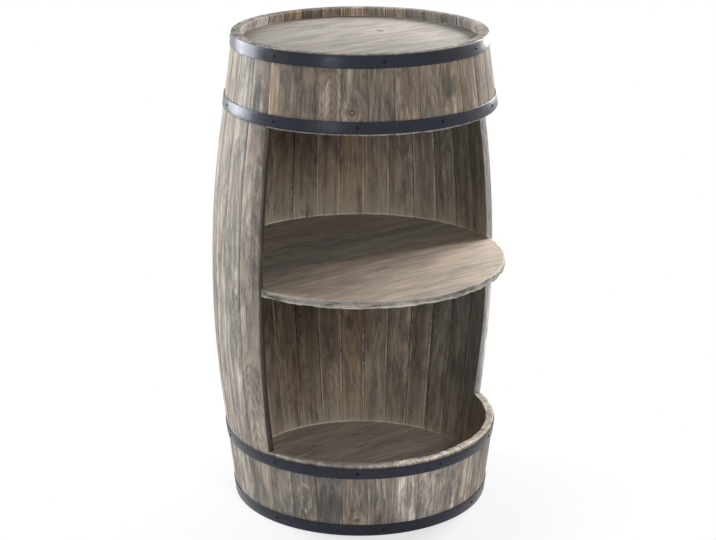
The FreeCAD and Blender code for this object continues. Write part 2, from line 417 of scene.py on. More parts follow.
def draw_patterns(wood):
    """Adds each pattern by its name, and the checks."""
    for name, (lumps, detail, roughness) in pattern_clouds.items():
        setattr(wood, name, cloud(wood.own, lumps, detail, roughness))
    wood.dark_line = parts(cloud(wood.own, (210, 210, 7.0), 4, 0.72, output=1))[1]
    wood.slate = parts(cloud(wood.own, (26, 26, 10), 5, 0.7, output=1))[1]
    off_middle = maths("ABSOLUTE", cloud(wood.own, (120, 120, 2.4), 2) - 0.5)
    wood.check = between(off_middle, 0.008, 0.0) * between(wood.broad, 0.50, 0.60)


print("patterns:", ", ".join(pattern_clouds))

# %% [markdown]
# ## Weathered wood: colour
# Weather turns wood grey in patches, leaves it brown in others, and draws slate and chalky streaks along
# the grain. Inside the barrel the wood is calmer and browner. The tone is kept apart from the colour: a
# plain factor that gathers all that is lighter or darker, from the whole piece down to single fibres.

# %% colour and tone
slate_grey = (0.165, 0.153, 0.139, 1)
ring_strength = 0.40
pale_flecks = 0.34
dark_lines = 0.52
indoor_calm = 0.26


def weathered_colour(wood, look, liveliness):
    """Grey and brown patches, slate and chalk, pale flecks, dark lines and rings."""
    brownness = (wood.mottle - 0.5) * sided(wood, 2.4 * liveliness, 2.0)
    brownness = brownness + blended(wood.indoors, wood.warmth, wood.inner_warmth)
    colour = mixed(brownness, look.grey, mixed(wood.indoors, look.brown, look.tan))
    slate = between(wood.slate, 0.53, 0.68, 0.0, 0.60 * liveliness) * sided(wood, 1.0, 0.35)
    colour = mixed(slate, colour, slate_grey)
    chalk = between(wood.streak * (wood.mottle + 0.5), 0.50, 0.72) * wood.chalk
    colour = mixed(chalk, colour, look.pale)
    colour = mixed(between(wood.fleck, 0.60, 0.76, 0.0, pale_flecks * liveliness), colour, look.pale)
    colour = mixed(between(wood.dark_line, 0.54, 0.74, 0.0, dark_lines), colour, look.dark)
    return mixed(wood.late * ring_strength, colour, look.dark)


def weathered_tone(wood, liveliness):
    """The factor that makes each place lighter or darker."""
    tone = between(wood.streak, 0.32, 0.68, 0.80, 1.20)
    tone = tone * between(wood.broad, 0.30, 0.70, sided(wood, 0.84, 0.72), sided(wood, 1.16, 1.30))
    tone = tone * between(wood.mottle, 0.36, 0.56, 0.62, 1.12)
    tone = (tone - 1.0) * (liveliness - wood.indoors * indoor_calm) + 1.0
    tone = tone * between(wood.fibre, 0.25, 0.75, 0.78, 1.22)
    tone = tone * between(wood.fleck, 0.30, 0.70, 0.84, 1.16)
    tone = tone * between(wood.check, 0.0, 1.0, 1.0, 0.30)
    return tone * blended(wood.indoors, wood.light, wood.inner_light)


print("share of the rings' dark colour:", ring_strength)

# %% [markdown]
# ## Weathered wood: seams, worn places and painted light
# Dirt gathers in the joints between the staves. Inside, the joints' arrises are torn here and there and
# show raw wood. Sawn ends are rubbed lighter. The wall above a board is lighter in patches: partly wear,
# partly painted light that falls in over the board. All this follows the wear vector, roughened by the
# flecks so that no line is straight.

# %% seams and wear
raw_wood = (0.78, 0.68, 0.52, 1)
dirt_darkness = 0.78


def dirty_seams(wood, tone, amount):
    """Darkens the tone in the joints."""
    wood.ragged_side = wobbled(wood.side, wood.fleck, 0.06)
    patchy = between(wood.broad, 0.34, 0.58, 0.30, 1.0)
    seam = between(wood.ragged_side, 0.955, 0.990) * blended(wood.indoors, patchy * wood.dirt, 1.0)
    return tone * between(seam, 0.0, 1.0, 1.0, 1 - dirt_darkness * amount)


def torn_and_worn(wood, colour, look):
    """Raw splinters along the inner joints, worn places, and painted light in patches over the boards."""
    splinter = between(wobbled(wood.side, wood.fleck, 0.24), 0.82, 0.87)
    splinter = splinter * between(wood.ragged_side, 0.975, 0.950) * between(wood.inside, 0.6, 0.9)
    raggedness = wood.splintered * 0.26 + wood.worn * 0.22
    splinter = splinter * between(raggedness + cloud(wood.own, (9, 9, 9), 6, 0.85), 0.71, 0.81)
    colour = mixed(splinter * 0.75, colour, raw_wood)
    # painted light: pale patches on the wall over a board, partly wear
    scuffed_and_painted_light = wood.worn * between(wood.streak * 0.5 + wood.mottle * 0.6, 0.36, 0.65)
    return mixed(scuffed_and_painted_light, colour, mixed(wood.indoors, look.pale, look.bruised))


print("a joint's dirt takes away", dirt_darkness, "of the light")

# %% [markdown]
# ## Weathered wood: knots, ringed ovals and stains
# A knot is the foot of a branch: a brown heart with a pale spot and a dark, uneven rim. A ringed oval is
# where a flat cut just opened a ring: raw wood round a grey field. Each mark is a squared distance made
# ragged by noise, whose ranges are mixed with other colours.

# %% marks
grey_heart = (0.133, 0.104, 0.082, 1)
red_heart = (0.235, 0.092, 0.052, 1)
knot_rim = (0.053, 0.037, 0.029, 1)
stain_colour = (0.060, 0.060, 0.062, 1)


def draw_knot(wood, colour, look):
    """The heart, its pale spot and rim, and a brown halo."""
    knot = wobbled(wood.knot, cloud(wood.own, (260, 260, 260), 3, 0.65), 2.2)
    heart = mixed(wood.warmth, grey_heart, red_heart)
    heart = mixed(between(knot, 0.10, -0.35, 0.0, 0.7), heart, look.pale)
    heart = mixed(between(knot, 0.35, 0.95), heart, knot_rim)
    colour = mixed(bell(knot * 0.22, 0.45), colour, look.brown)
    return mixed(between(knot, 1.45, 0.95) * 0.85, colour, heart)


def draw_eye(wood, colour, look):
    """An oval outline of raw wood round a grey field."""
    eye = wobbled(maths("SQRT", spot(wood, "eye", 2.6)[0]), cloud(wood.own, (80, 80, 50), 4, 0.65), 2.2)
    outline = between(maths("ABSOLUTE", eye - 1.0), 0.26, 0.08)
    colour = mixed(between(eye, 1.1, 0.7, 0.0, 0.40), colour, slate_grey)
    return mixed(outline * between(wood.fleck, 0.35, 0.60, 0.0, 0.6), colour, look.pale)


def draw_stain(wood, colour):
    """A soft dark patch."""
    stain = wobbled(spot(wood, "stain", 1.8)[0], cloud(wood.own, (130, 130, 60), 3), 2.4)
    return mixed(between(stain, 1.5, 0.0, 0.0, 0.60), colour, stain_colour)


print("marks:", [f.__name__ for f in (draw_knot, draw_eye, draw_stain)])

# %% [markdown]
# ## Weathered wood: the whole recipe
# One recipe serves all the wood. Only the colours, the relief and a few amounts differ from kind to kind.
# The bump raises the fibres and the hard part of the rings and sinks the checks, as weather does.

# %% the recipe
wood_shine = {"Specular IOR Level": 0.28}
dullest = 0.93


def weathered_wood(name, grey, brown, pale, dark, relief, roughness, liveliness=1.0,
                   stretch=(1.0, 1.0, 1.0), tan=None, bruised=None, seam_dirt=1.0):
    """A material for raw, weathered softwood."""
    material = bpy.data.materials.new(name)
    wood = read_piece(empty_tree(material), stretch)
    look = SimpleNamespace(grey=grey + (1,), brown=brown + (1,), pale=pale + (1,),
                           dark=dark + (1,), tan=(tan or brown) + (1,),
                           bruised=(bruised or pale) + (1,))
    bend_grain(wood)
    draw_rings(wood)
    draw_patterns(wood)
    tone = dirty_seams(wood, weathered_tone(wood, liveliness), seam_dirt)
    colour = add("ShaderNodeVectorMath", {0: weathered_colour(wood, look, liveliness),
                                          "Scale": tone}, operation="SCALE")
    colour = torn_and_worn(wood, colour, look)
    colour = draw_stain(wood, draw_eye(wood, draw_knot(wood, colour, look), look))
    rough = between(wood.fibre + wood.late * -0.25, 0.2, 0.8, roughness, dullest)
    height = wood.fibre * 0.55 + wood.late * 0.40 - wood.check * 1.6
    show_surface(colour, rough, height, 0.55, relief * mm, wood_shine)
    return material


print("the recipe is ready; the dullest wood has roughness", dullest)

# %% [markdown]
# ## The kinds of wood on this barrel
# The staves' faces are grey and brown. Their planed edges in the opening are darker, on the left one
# partly as painted shade, and the one at the right is painted pale as painted light. Sawn ends and the
# lips of the grooves are paler, the upper rim is weathered end grain, the boards are calmer, and the
# shelf's edge is rough, its pattern turned to run round the disc.

# %% kinds of wood
wood_kinds = {
    # name, grey, brown, pale, dark, relief in millimetres, lowest roughness, the rest
    "stave": ("weathered stave wood", (0.348, 0.319, 0.282), (0.322, 0.240, 0.168),
              (0.572, 0.529, 0.463), (0.104, 0.077, 0.057), 0.35, 0.66,
              {"tan": (0.370, 0.242, 0.140), "bruised": (0.600, 0.520, 0.405)}),
    "sawn end": ("sawn end wood", (0.520, 0.462, 0.384), (0.430, 0.330, 0.232),
                 (0.800, 0.752, 0.640), (0.140, 0.108, 0.080), 0.40, 0.74, {}),
    # the darker planed edge; on the edge at the left of the opening it is partly painted shade
    "edge": ("planed stave edge", (0.200, 0.170, 0.144), (0.186, 0.133, 0.093),
             (0.319, 0.277, 0.233), (0.106, 0.080, 0.059), 0.20, 0.62, {"liveliness": 0.7}),
    "lip": ("raw groove lip", (0.800, 0.722, 0.590), (0.540, 0.430, 0.310),
            (0.860, 0.800, 0.690), (0.200, 0.150, 0.105), 0.20, 0.74, {"liveliness": 1.8}),
    "top end": ("weathered end grain", (0.262, 0.238, 0.212), (0.240, 0.190, 0.145),
                (0.500, 0.462, 0.410), (0.070, 0.055, 0.044), 0.40, 0.74, {"liveliness": 1.5}),
    # painted light: the edge at the right of the opening is painted pale for the light it catches
    "painted lit edge": ("bleached stave edge", (0.660, 0.630, 0.605), (0.610, 0.560, 0.515),
                      (0.740, 0.720, 0.700), (0.380, 0.340, 0.310), 0.20, 0.70,
                      {"seam_dirt": 0.0}),
    "board": ("weathered board wood", (0.532, 0.485, 0.434), (0.439, 0.333, 0.239),
              (0.718, 0.665, 0.595), (0.279, 0.226, 0.184), 0.25, 0.55,
              {"stretch": (1.4, 1.4, 0.7), "liveliness": 0.55}),
    "shelf edge": ("rough shelf edge", (0.330, 0.302, 0.268), (0.160, 0.124, 0.094),
                   (0.760, 0.712, 0.640), (0.070, 0.055, 0.044), 0.60, 0.74,
                   {"stretch": (0.35, 2.0, 3.0), "liveliness": 1.7}),
}
woods = {kind: weathered_wood(*values[:-1], **values[-1]) for kind, values in wood_kinds.items()}
print("wood materials", [material.name for material in woods.values()])

# %% [markdown]
# ## What each stave looks like
# No two staves come from the same tree, so a seeded die gives each its own pith, tone and figure, the
# same each time the notebook runs. What makes this barrel itself is listed: its knots, ovals and
# stains, the staves that the weather has made darker or lighter, and the staves painted darker or
# lighter as light and shade.

# %% marks of this barrel
nowhere = (9.0, 9.0, 0.004)     # a spot that lies far outside every piece
stave_count = 33
cut_stave_count = 14
stave_angle = 360 / stave_count
opening_half_angle = cut_stave_count * stave_angle / 2
stave_marks = {
    # angle, height and size of each mark
    "knot": [(-39.2, 0.713, 0.0056), (-37.3, 0.030, 0.0050), (-1.2, 0.0956, 0.0028),
             (-118.0, 0.375, 0.0045), (102.0, 0.695, 0.0045), (-172.0, 0.378, 0.0060),
             (160.0, 0.725, 0.0040), (128.0, 0.365, 0.0050)],
    "figure": [(-55.1, 0.751, 0.011), (-79.3, 0.594, 0.0075), (2.0, 0.745, 0.012),
               (-59.7, 0.065, 0.010), (-92.0, 0.330, 0.011), (-101.0, 0.520, 0.010)],
    "stain": [(-21.9, 0.706, 0.0085), (3.5, 0.742, 0.016), (149.2, 0.212, 0.0080),
              (7.4, 0.0347, 0.0040), (-46.0, 0.056, 0.016)],
    "eye": [(-79.3, 0.594, 0.0085), (-59.7, 0.065, 0.0095), (163.0, 0.700, 0.0080)],
}
# a slanting cut through the tree: slant, the height it is measured from, and chalkiness
planks = {"upper_stave_03": (0.34, 0.700, 0.5), "upper_stave_10": (-0.26, 0.760, 0.5)}
print("marks placed by hand:", {kind: len(marks) for kind, marks in stave_marks.items()})

# %% [markdown]
# The weather doesn't treat all staves alike. Rain splashes some staves dark and the sun bleaches some
# of the lower ones at the front. The darker staves at the right of the upper band and at both sides of
# the lower band are painted shade on those sides. Inside, the staves at the left are greyer, and those at
# the back are browner and more splintered; their inner lightness is painted light and shade, lighter at
# the back middle and darker towards the sides. The outer numbers multiply the lightness that the die
# gives, and the inner ones stand for it.

# %% weather on this barrel
bleached = ["lower_stave_%02d" % number for number in (6, 7, 8, 9)]
# how light the outer face of some staves is: weather, and painted shade on the sides of the bands
weather_and_painted_shade = {"lower_stave_01": 0.80, "lower_stave_02": 0.60, "lower_stave_03": 0.60,
           "upper_stave_10": 0.88, "upper_stave_11": 0.74, "upper_stave_12": 0.72,
           "upper_stave_13": 0.72, "lower_stave_12": 0.80, "lower_stave_13": 0.70,
           "lower_stave_14": 0.65, "stave_09": 0.7, "stave_15": 0.8, "stave_19": 0.9}
weather_and_painted_shade.update({name: 1.4 for name in bleached})
# the inner face of some staves: lightness, brownness and splinters; the lightness is painted light
# and shade, lighter at the back middle and darker towards the sides
inner_faces = {"stave_01": (0.74, -0.40, 0.1), "stave_02": (0.70, -0.30, 0.1),
               "stave_03": (0.78, -0.20, 0.2), "stave_04": (0.77, 0.20, 0.9),
               "stave_05": (1.02, 0.35, 0.5), "stave_06": (1.10, 0.35, 0.9),
               "stave_07": (1.22, 0.75, 0.8), "stave_08": (1.00, 0.55, 1.0),
               "stave_09": (0.68, 0.55, 0.5), "stave_10": (0.80, 0.75, 0.6)}
print("staves with weather of their own:", len(weather_and_painted_shade), "outside,", len(inner_faces), "inside")

# %% [markdown]
# The die is seeded with the stave's name, so a stave keeps its look when others change. A listed mark
# goes to the stave under it. Every other stave gets a figure by chance and no knot. The short staves over
# the opening are browner.

# %% character of a stave
def mark_on(kind, middle, low, high):
    """The first mark of a kind that lies on a stave, as place across, place along and size."""
    for angle, height, size in stave_marks[kind]:
        turn = (angle - middle + 180) % 360 - 180
        if abs(turn) < stave_angle / 2 and low < height < high:
            return (math.radians(turn) * outer_radius(height), height, size)
    return None


def stave_character(name, middle, low, high):
    """Every vector that is the same all over one stave."""
    dice = random.Random(name)
    half_width = math.radians(stave_angle / 2) * belly_radius
    slanting = name in planks
    figure = (dice.uniform(-0.5, 0.5) * half_width, dice.uniform(low, high),
              dice.uniform(0.008, 0.014))
    character = {kind: mark_on(kind, middle, low, high) or nowhere for kind in stave_marks}
    character["figure"] = mark_on("figure", middle, low, high) or figure
    character["pith"] = (dice.uniform(-1.0, 1.0) * half_width * (0.1 if slanting else 1.0),
                         0.022 if slanting else dice.uniform(0.012, 0.060),
                         dice.uniform(0, 40))
    brownness = (0.50, 0.95) if name.startswith("upper") else (0.15, 0.65)
    character["tone"] = (dice.uniform(0.80, 1.22) * weather_and_painted_shade.get(name, 1.0),
                         dice.uniform(*brownness), dice.uniform(0.25, 1.0))
    character["plank"] = planks.get(name) or (
        dice.uniform(-0.09, 0.09), (low + high) / 2,
        0.9 if name in bleached else dice.uniform(0.3, 0.6))
    character["inner"] = inner_faces.get(name) or (
        dice.uniform(0.75, 1.1), dice.uniform(-0.2, 0.7), dice.uniform(0, 1))
    return character


def carry(bm, character):
    """Writes a piece's character on its points."""
    for key, value in character.items():
        layer = bm.verts.layers.float_vector.new(key)
        for vert in bm.verts:
            vert[layer] = value


print("a stave's pith:", [round(v, 3) for v in stave_character("stave_10", 180, 0, 0.8)["pith"]])

# %% [markdown]
# ## Staves: their sizes
# A stave fills its share of the barrel but for a hair's breadth at each seam. The grooves that hold the
# boards have a little headroom, where a worn, pale lip shows over the board.

# %% stave sizes
stave_gap = 0.2 * mm
chime_bevel = 2 * mm
opening_top = barrel_height - 122 * mm
lower_band_top = 131.5 * mm
lid_top = barrel_height - 15 * mm
floor_top = 26 * mm
shelf_top = 416.5 * mm
head_thickness = 16 * mm
head_tongue = 10 * mm
shelf_thickness = 12 * mm
groove_depth = 4.5 * mm
groove_headroom = 3 * mm
lid_groove = (lid_top - head_tongue, lid_top + groove_headroom)
floor_groove = (floor_top - head_tongue, floor_top + groove_headroom)
shelf_groove = (shelf_top - shelf_thickness, shelf_top + groove_headroom)
grooves = (lid_groove, floor_groove, shelf_groove)
stave_sweep = stave_angle - math.degrees(stave_gap / belly_radius)
stave_width = math.radians(stave_sweep) * belly_radius
for label, level in (("lid", lid_top), ("shelf", shelf_top), ("floor", floor_top)):
    in_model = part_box(label + "_board_front")[1].z
    print(label, "top at", round(level, 4), "in the model", round(in_model, 4))

# %% [markdown]
# ## Staves: a straight plank
# A cooper first makes a straight plank and eases its arrises. In the mesh this is a cube, scaled,
# bevelled and cut into short lengths, so that it can bend. A groove is a pair of close cuts, between
# which the wall will be thinner. More cuts stand where the wear changes quickly.

# %% a straight plank
arris = 0.35 * mm
station_step = 21 * mm
end_zone = 5 * mm
groove_wall = 0.15 * mm         # run of a groove's steep side
groove_margin = 2 * mm
wear_steps = (3 * mm, 10 * mm)  # cuts over a groove, where the wall is worn
across_cuts = 9


def plank_stations(low, high):
    """The heights at which a plank is cut."""
    steps = max(2, round((high - low) / station_step))
    stations = [low + (high - low) * i / steps for i in range(1, steps)]
    stations += [low + chime_bevel, high - chime_bevel, low + end_zone, high - end_zone]
    for bottom, top in grooves:
        if low < bottom < high:
            stations = [z for z in stations if not bottom - groove_margin < z < top + groove_margin]
            lip = top - groove_headroom
            stations += [bottom - groove_wall, bottom, lip, lip + groove_wall, top,
                         top + groove_wall]
            if top != lid_groove[1]:
                stations += [top + step for step in wear_steps]
    return sorted(stations)


def straight_plank(low, high):
    """A plank at the front, not yet bent: x across, y from outside in, z along."""
    bm = bmesh.new()
    bmesh.ops.create_cube(bm, size=1)
    bmesh.ops.scale(bm, vec=(stave_width, belly_wall, high - low), verts=bm.verts)
    bmesh.ops.translate(bm, vec=(0, belly_wall / 2, (low + high) / 2), verts=bm.verts)
    ease(bm, bm.edges[:], arris)
    for z in plank_stations(low, high):
        cut(bm, (0, 0, z), (0, 0, 1))
    for i in range(1, across_cuts + 1):
        cut(bm, ((i / (across_cuts + 1) - 0.5) * stave_width, 0, 0), (1, 0, 0))
    cut(bm, (0, belly_wall / 2, 0), (0, 1, 0))
    return bm


sample = straight_plank(0, barrel_height)
print("a full plank has", len(sample.verts), "points and", len(sample.faces), "faces")
sample.free()

# %% [markdown]
# ## Staves: wear and painted light
# Hands rub the arris of a sawn end. The wall over a board is lighter towards the board: partly wear,
# where things stand and slide and the wall loses its dirt, partly painted light that falls in over the
# board. Each point gets its wear vector while the plank is still straight, because its places are simple
# there.

# %% wear
# painted light: the wall over a board is made paler towards the board, partly for wear
board_wear_and_painted_light = ((0.8, 4 * mm), (0.68, 35 * mm), (0.40, 110 * mm))     # strength and reach
sawn_wear = 0.6
sawn_wear_reach = 4 * mm


def wear_vector(point, sawn):
    """Nearness to a seam, how worn the place is with painted light over a board, and share of the depth.
    """
    share_inside = point.y / belly_wall
    height = point.z - (shelf_top if point.z >= shelf_top else floor_top)
    worn = 0.0
    if share_inside > 0.9 and height > 0:
        worn = sum(strength * math.exp(-height / reach) for strength, reach in board_wear_and_painted_light)
    elif share_inside < 0.1 and sawn is not None:
        worn = sawn_wear * max(0.0, 1 - abs(point.z - sawn) / sawn_wear_reach)
    return Vector((abs(point.x) / (stave_width / 2), worn, share_inside))


over_shelf = wear_vector(Vector((0, belly_wall, shelf_top + 10 * mm)), None)
print("wear 10 mm over the shelf", round(over_shelf.y, 2))

# %% [markdown]
# ## Staves: the grooves
# A groove runs round the inside of the barrel for each board. Its bottom is a true circle, because it is
# cut in one go when the barrel stands. The wall over and under it is a little uneven, and over the board
# the groove's edge is worn to a ragged lip. In the mesh nothing is cut out: between two heights the
# radius of the inner face is simply larger.

# %% grooves
inner_roughness = 0.35 * mm
lip_depth = 1.1 * mm            # the worn, pale lip of a groove that shows over its board
touch = 0.01 * mm


def in_groove(z):
    """The groove that a height lies in."""
    for groove in grooves:
        if groove[0] - touch < z < groove[1] + touch:
            return groove
    return None


def groove_radius(groove):
    """Radius of the bottom of a groove."""
    return inner_radius((groove[0] + groove[1]) / 2) + groove_depth


def inner_face_radius(flat, turn, drift, shift):
    """Radius of the inner face, with its grooves, their lips and the chime's bevel."""
    groove = in_groove(flat.z)
    if groove and flat.z < groove[1] - groove_headroom + touch:
        radius = groove_radius(groove)
    else:
        radius = inner_radius(flat.z) / math.cos(math.radians(turn)) + shift
        radius += inner_roughness * noise.noise(flat * 22 + drift)
        if groove:
            radius += lip_depth * max(0.15, 1.1 + 1.4 * noise.noise(flat * 70 + drift))
    return radius + max(0.0, chime_bevel - min(flat.z, barrel_height - flat.z))


print("lid, floor and shelf groove radii", [round(groove_radius(g), 4) for g in grooves])

# %% [markdown]
# ## Staves: bending
# The plank's points now move: the width becomes an angle, and the depth runs from the outer to the inner
# radius. Tools and weather leave a faint crown, an uneven surface, small differences between neighbours,
# and sawn ends a little off square with splinters missing.

# %% bending a plank
crown = 0.25 * mm               # how far the outer face falls away at the seams
outer_roughness = 0.25 * mm
chip_depth = 2.42 * mm
sawn_reach = 1.2 * mm


def bend(bm, name, middle, sawn, inward):
    """Moves a straight plank's points to their places in the barrel."""
    dice = random.Random(name + " shape")
    grain = bm.verts.layers.float_vector.new("grain")
    wear = bm.verts.layers.float_vector.new("wear")
    drift = Vector((dice.uniform(0, 50), dice.uniform(0, 50), dice.uniform(0, 50)))
    sunk = dice.uniform(0.0, 0.30) * mm
    inner_shift = dice.uniform(-0.55, 0.45) * mm
    end_tilt = dice.uniform(-0.5, 0.5) * mm
    end_lift = dice.uniform(-0.45, 0.45) * mm
    for vert in bm.verts:
        flat = vert.co.copy()
        vert[grain] = flat
        vert[wear] = wear_vector(flat, sawn)
        share = flat.x / (stave_width / 2)
        turn = share * stave_sweep / 2
        outer = outer_radius(flat.z) - sunk - crown * abs(share) ** 3
        outer -= outer_roughness * abs(noise.noise(flat * 28 + drift))
        inner = inner_face_radius(flat, turn, drift, inner_shift)
        radius = outer + (inner - outer) * flat.y / belly_wall
        z = flat.z
        if sawn is not None and abs(z - sawn) < sawn_reach:
            at_edge = abs(flat.y / belly_wall - 0.5) * 2
            chip = max(0.0, noise.noise(flat * 260 + drift) - 0.05) * chip_depth
            z += end_lift + end_tilt * share + inward * chip * at_edge ** 2
        vert.co = round_point(middle + turn, radius, z)


print("a stave turns through", round(stave_sweep, 2), "degrees")

# %% [markdown]
# ## Staves: all of them
# The kind of wood of a face is chosen on the straight plank, where its direction says what it is: an end,
# an edge, or the bottom of a groove. The front staves are sawn in two, and the part between is left out.

# %% all staves
stave_woods = ["stave", "sawn end", "edge", "lip", "top end", "painted lit edge"]


def kind_of_face(face, name):
    """The kind of wood of one face of a straight plank."""
    z = face.calc_center_median().z
    if abs(face.normal.z) > 0.6:
        return "sawn end" if z < barrel_height - end_zone else "top end"
    if abs(face.normal.x) > 0.9:
        # painted light: stave_01's edge, at the right of the opening, gets the pale edge; the darker edge
        # at the left of the opening is partly painted shade
        return "painted lit edge" if name == "stave_01" else "edge"
    if face.normal.y > 0.9 and in_groove(z):
        return "sawn end" if in_groove(z) == lid_groove else "lip"
    return "stave"


def make_stave(name, middle, low, high, sawn=None):
    """One finished stave between two heights, one of which may be sawn."""
    bm = straight_plank(low, high)
    for face in bm.faces:
        face.material_index = stave_woods.index(kind_of_face(face, name))
    bend(bm, name, middle, sawn, inward=1 if sawn == low else -1)
    carry(bm, stave_character(name, middle, low, high))
    materials = [woods[kind] for kind in stave_woods]
    return finish_piece(bm, "wood_" + name, materials, [name])


staves = []
for index in range(stave_count):
    middle = -opening_half_angle + (index + 0.5) * stave_angle
    if index < cut_stave_count:
        number = "_stave_%02d" % (index + 1)
        staves.append(make_stave("upper" + number, middle, opening_top, barrel_height, opening_top))
        staves.append(make_stave("lower" + number, middle, 0, lower_band_top, lower_band_top))
    else:
        number = "stave_%02d" % (index - cut_stave_count + 1)
        staves.append(make_stave(number, middle, 0, barrel_height))
print("staves:", len(staves), "faces in all:", sum(len(o.data.polygons) for o in staves))

# %% [markdown]
# ## Lid, shelf and floor: the discs
# The lid and the floor are discs with a thin tongue that sits in the staves' groove. A disc starts as a
# circle with a face, and has a corner at every seam, so it follows the staves closely. The face is
# extruded down for the thickness, and the underside is inset and extruded once more for the thicker
# middle.

# %% discs
board_clearance = 0.3 * mm
segments_per_stave = 20


def flat_disc(radius, z):
    """A round face at a height, with a corner at every stave's seam."""
    bm = bmesh.new()
    bmesh.ops.create_circle(bm, cap_ends=True, segments=stave_count * segments_per_stave,
                            radius=radius)
    start = math.radians(-90 - opening_half_angle)
    bmesh.ops.rotate(bm, cent=(0, 0, 0), matrix=Matrix.Rotation(start, 3, "Z"), verts=bm.verts)
    bmesh.ops.translate(bm, vec=(0, 0, z), verts=bm.verts)
    return bm


def pulled_down(bm, faces, amount):
    """Extrudes faces downwards and returns the new ones."""
    made = bmesh.ops.extrude_face_region(bm, geom=faces)["geom"]
    bmesh.ops.translate(bm, vec=(0, 0, -amount), verts=only(made, bmesh.types.BMVert))
    return only(made, bmesh.types.BMFace)


def head_blank(groove):
    """The lid or the floor: a disc with a tongue round its upper part."""
    seat = groove[0]
    underside = seat + head_tongue - head_thickness
    tongue_radius = groove_radius(groove) - board_clearance
    body_radius = min(inner_radius(underside), inner_radius(seat)) - board_clearance
    bm = flat_disc(tongue_radius, seat + head_tongue)
    tongue_face = pulled_down(bm, bm.faces[:], head_tongue)
    bmesh.ops.inset_region(bm, faces=tongue_face, thickness=tongue_radius - body_radius,
                           use_even_offset=True)
    pulled_down(bm, tongue_face, head_thickness - head_tongue)
    clear_inner_walls(bm)
    return bm


head = head_blank(lid_groove)
print("the lid's disc has", len(head.faces), "faces")
head.free()

# %% [markdown]
# ## The shelf's disc
# The shelf sits in its groove at the back and comes forward to the barrel's outline in the opening. The
# edges of the disc that stand in the opening are extruded outwards to the larger radius. That puts the
# step between groove and front exactly at the cut staves, where a larger disc would have to be cut back.

# %% the shelf's disc
shelf_radius = belly_radius - 4.5 * mm
small_angle = 0.01


def front_angle(point):
    """Angle of a point from the front, in degrees."""
    return math.degrees(math.atan2(point.x, -point.y))


def shelf_blank():
    """The shelf: a disc in its groove, with a round front that stands in the opening."""
    lobe_half_angle = opening_half_angle - math.degrees(board_clearance / inner_radius(shelf_top))
    bm = flat_disc(groove_radius(shelf_groove) - board_clearance, shelf_top)
    rim = [e for e in bm.edges if all(abs(front_angle(v.co)) < opening_half_angle + small_angle
                                      for v in e.verts)]
    made = bmesh.ops.extrude_edge_only(bm, edges=rim)["geom"]
    for vert in only(made, bmesh.types.BMVert):
        angle = max(-lobe_half_angle, min(lobe_half_angle, front_angle(vert.co)))
        vert.co = round_point(angle, shelf_radius, shelf_top)
    pulled_down(bm, bm.faces[:], shelf_thickness)
    clear_inner_walls(bm)
    return bm


print("the shelf comes forward to", round(shelf_radius, 4))

# %% [markdown]
# ## Lid, shelf and floor: the boards
# Each disc is glued up from two boards with their grain along X, so a plane cuts it in two and the cut is
# filled. The upper arrises are eased. The shelf's front edge is left uneven by the saw, and splinters are
# missing along its lower arris.

# %% cutting the discs into boards
joint_gap = 0.15 * mm
board_arris = 0.4 * mm
shelf_arris = 0.9 * mm
sharp_corner = 1.2              # radians
ragged = 0.95 * mm
fine_ragged = 0.35 * mm
splinter_depth = 3.2 * mm


def rough_rim_point(vert):
    """Wears a point of the shelf's front edge, moves it, and returns its wear."""
    depth = (shelf_top - vert.co.z) / shelf_thickness
    inward = ragged * max(0.0, noise.noise(vert.co * 150) + 0.35)
    inward += fine_ragged * abs(noise.noise(vert.co * 420))
    if depth > 0.75:
        chip = splinter_depth * max(0.0, noise.noise(vert.co * 95) + 0.15)
        inward += 0.35 * chip
        vert.co.z += 0.6 * chip
    vert.co.xy *= 1 - inward / shelf_radius
    return 0.6 if depth < 0.2 else 0.8 if depth > 0.6 else 0.42


def prepare_shelf_rim(bm):
    """Cuts the shelf's edge into layers and gives its face the rough wood."""
    for share in (0.3, 0.5, 0.7):
        cut(bm, (0, 0, shelf_top - share * shelf_thickness), (0, 0, 1))
    for face in bm.faces:
        outwards = face.calc_center_median().xy.length
        if outwards > shelf_radius - 0.7 * mm and abs(face.normal.z) < 0.8:
            face.material_index = 1


def board(bm, name, side, character):
    """The front (-1) or back (1) board of a disc."""
    is_shelf = name == "shelf"
    edges = cut(bm, (0, side * joint_gap / 2, 0), (0, -side, 0), clear_outer=True)
    bmesh.ops.holes_fill(bm, edges=edges)
    bmesh.ops.recalc_face_normals(bm, faces=bm.faces[:])
    top_rim = [e for e in bm.edges if e.calc_face_angle_signed(0) > sharp_corner
               and abs(e.verts[0].co.z - e.verts[1].co.z) < 1e-6]
    ease(bm, top_rim, shelf_arris if is_shelf else board_arris)
    if is_shelf:
        prepare_shelf_rim(bm)
    grain = bm.verts.layers.float_vector.new("grain")
    wear = bm.verts.layers.float_vector.new("wear")
    for vert in bm.verts:
        vert[grain] = vert.co.yzx
        vert[wear] = (0, 0, 0)
        if is_shelf and vert.co.xy.length > shelf_radius - 1.5 * mm:
            vert[wear] = (0, rough_rim_point(vert), 0)
    carry(bm, character)
    node = name + ("_board_front" if side < 0 else "_board_back")
    materials = [woods["board"], woods["shelf edge"]]
    return finish_piece(bm, "wood_" + node, materials, [node])


print("the shelf's edge is", round(ragged / mm, 2), "mm rough")
